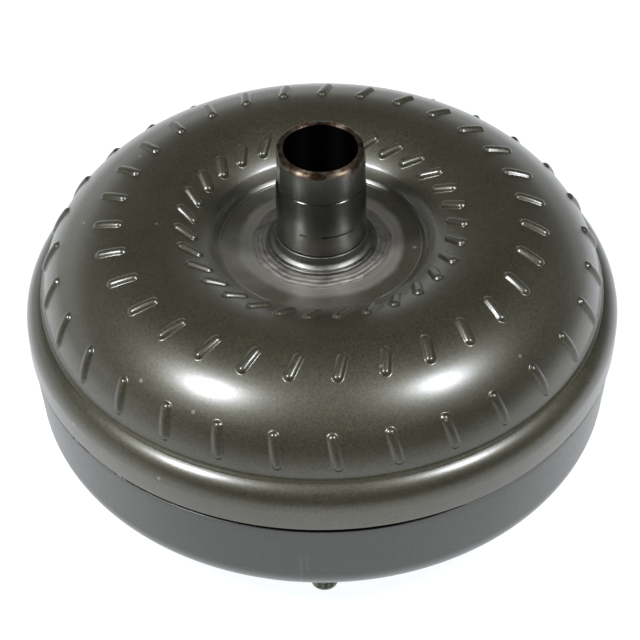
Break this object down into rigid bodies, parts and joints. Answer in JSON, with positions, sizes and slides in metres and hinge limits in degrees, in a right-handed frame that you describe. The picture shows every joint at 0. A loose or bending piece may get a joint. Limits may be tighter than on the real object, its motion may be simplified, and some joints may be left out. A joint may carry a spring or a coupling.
{
  "type": "torque converter",
  "caption": "Lock-up torque converter: impeller housing with pump-drive hub, turbine, one-way-clutch stator, sprung lock-up piston and studs for a flexplate.",
  "frame": {"origin": "on the axis of rotation, in the plane of the flexplate stud ends on which the part stands", "axes": "+Z along the axis of rotation from the engine side towards the impeller hub; +X towards one flexplate stud"},
  "size_m": [0.3208, 0.3208, 0.1848],
  "materials": {
    "case_paint": "dark metallic gunmetal-olive paint, semi-gloss",
    "cover_paint": "grey metallic paint, semi-gloss",
    "journal_steel": "ground and polished bare steel",
    "weld_steel": "heat-tinted weld",
    "stud_steel": "zinc-plated steel",
    "blade_steel": "oiled sheet steel",
    "machined_steel": "turned steel",
    "damper_steel": "stamped, carbonitrided steel",
    "spring_steel": "blued spring wire",
    "bearing_steel": "ground bearing steel",
    "lining": "paper friction material, matt",
    "washer_polymer": "moulded thrust washer, matt",
    "cast_aluminium": "die-cast, matt"
  },
  "bodies": {
    "housing": {"front_cover": "cover_paint", "closure_weld": "weld_steel", "impeller_shell": "case_paint", "impeller_hub": "journal_steel", "hub_flange": "journal_steel", "hub_weld": "weld_steel", "impeller_blades": "blade_steel", "impeller_core_ring": "blade_steel", "crank_pilot": "machined_steel", "pilot_weld": "weld_steel", "flexplate_studs": "stud_steel", "rear_bearing_outer_race": "bearing_steel"},
    "turbine": {"turbine_shell": "blade_steel", "turbine_blades": "blade_steel", "turbine_core_ring": "blade_steel", "turbine_hub": "machined_steel", "turbine_rivets": "machined_steel", "front_thrust_washer": "washer_polymer", "piston_seal_ring": "washer_polymer", "damper_driven_plate": "damper_steel", "front_bearing_outer_race": "bearing_steel"},
    "damper": {"damper_front_plate": "damper_steel", "damper_rear_plate": "damper_steel", "damper_spacers": "machined_steel", "damper_springs": "spring_steel"},
    "lockup_piston": {"lockup_piston": "damper_steel", "friction_lining": "lining"},
    "stator_inner_race": {"stator_inner_race": "bearing_steel"},
    "stator": {"stator_wheel": "cast_aluminium", "clutch_cam_race": "machined_steel", "clutch_rollers": "bearing_steel", "clutch_springs": "spring_steel", "stator_end_caps": "washer_polymer", "stator_snap_rings": "spring_steel", "rear_bearing_inner_race": "bearing_steel", "front_bearing_inner_race": "bearing_steel"},
    "rear_bearing_rollers": {"rear_bearing_cage": "machined_steel", "rear_bearing_needles": "bearing_steel"},
    "front_bearing_rollers": {"front_bearing_cage": "machined_steel", "front_bearing_needles": "bearing_steel"}
  },
  "joints": [
    {"name": "turbine_spin", "type": "hinge", "parent": "housing", "child": "turbine", "pos_m": [0, 0, 0.06], "axis": [0, 0, 1], "continuous": true},
    {"name": "damper_twist", "type": "hinge", "parent": "turbine", "child": "damper", "pos_m": [0, 0, 0.033], "axis": [0, 0, 1], "range_deg": [-5, 5], "stiffness_Nm_per_rad": 100, "deforming": ["damper_springs"]},
    {"name": "piston_apply", "type": "slide", "parent": "damper", "child": "lockup_piston", "axis": [0, 0, -1], "range_m": [0, 0.0008]},
    {"name": "stator_race_spin", "type": "hinge", "parent": "housing", "child": "stator_inner_race", "pos_m": [0, 0, 0.0912], "axis": [0, 0, 1], "continuous": true},
    {"name": "stator_freewheel", "type": "hinge", "parent": "stator_inner_race", "child": "stator", "pos_m": [0, 0, 0.0912], "axis": [0, 0, 1], "continuous": true},
    {"name": "rear_bearing_spin", "type": "hinge", "parent": "housing", "child": "rear_bearing_rollers", "pos_m": [0, 0, 0.1085], "axis": [0, 0, 1], "continuous": true},
    {"name": "front_bearing_spin", "type": "hinge", "parent": "turbine", "child": "front_bearing_rollers", "pos_m": [0, 0, 0.0739], "axis": [0, 0, 1], "continuous": true}
  ]
}
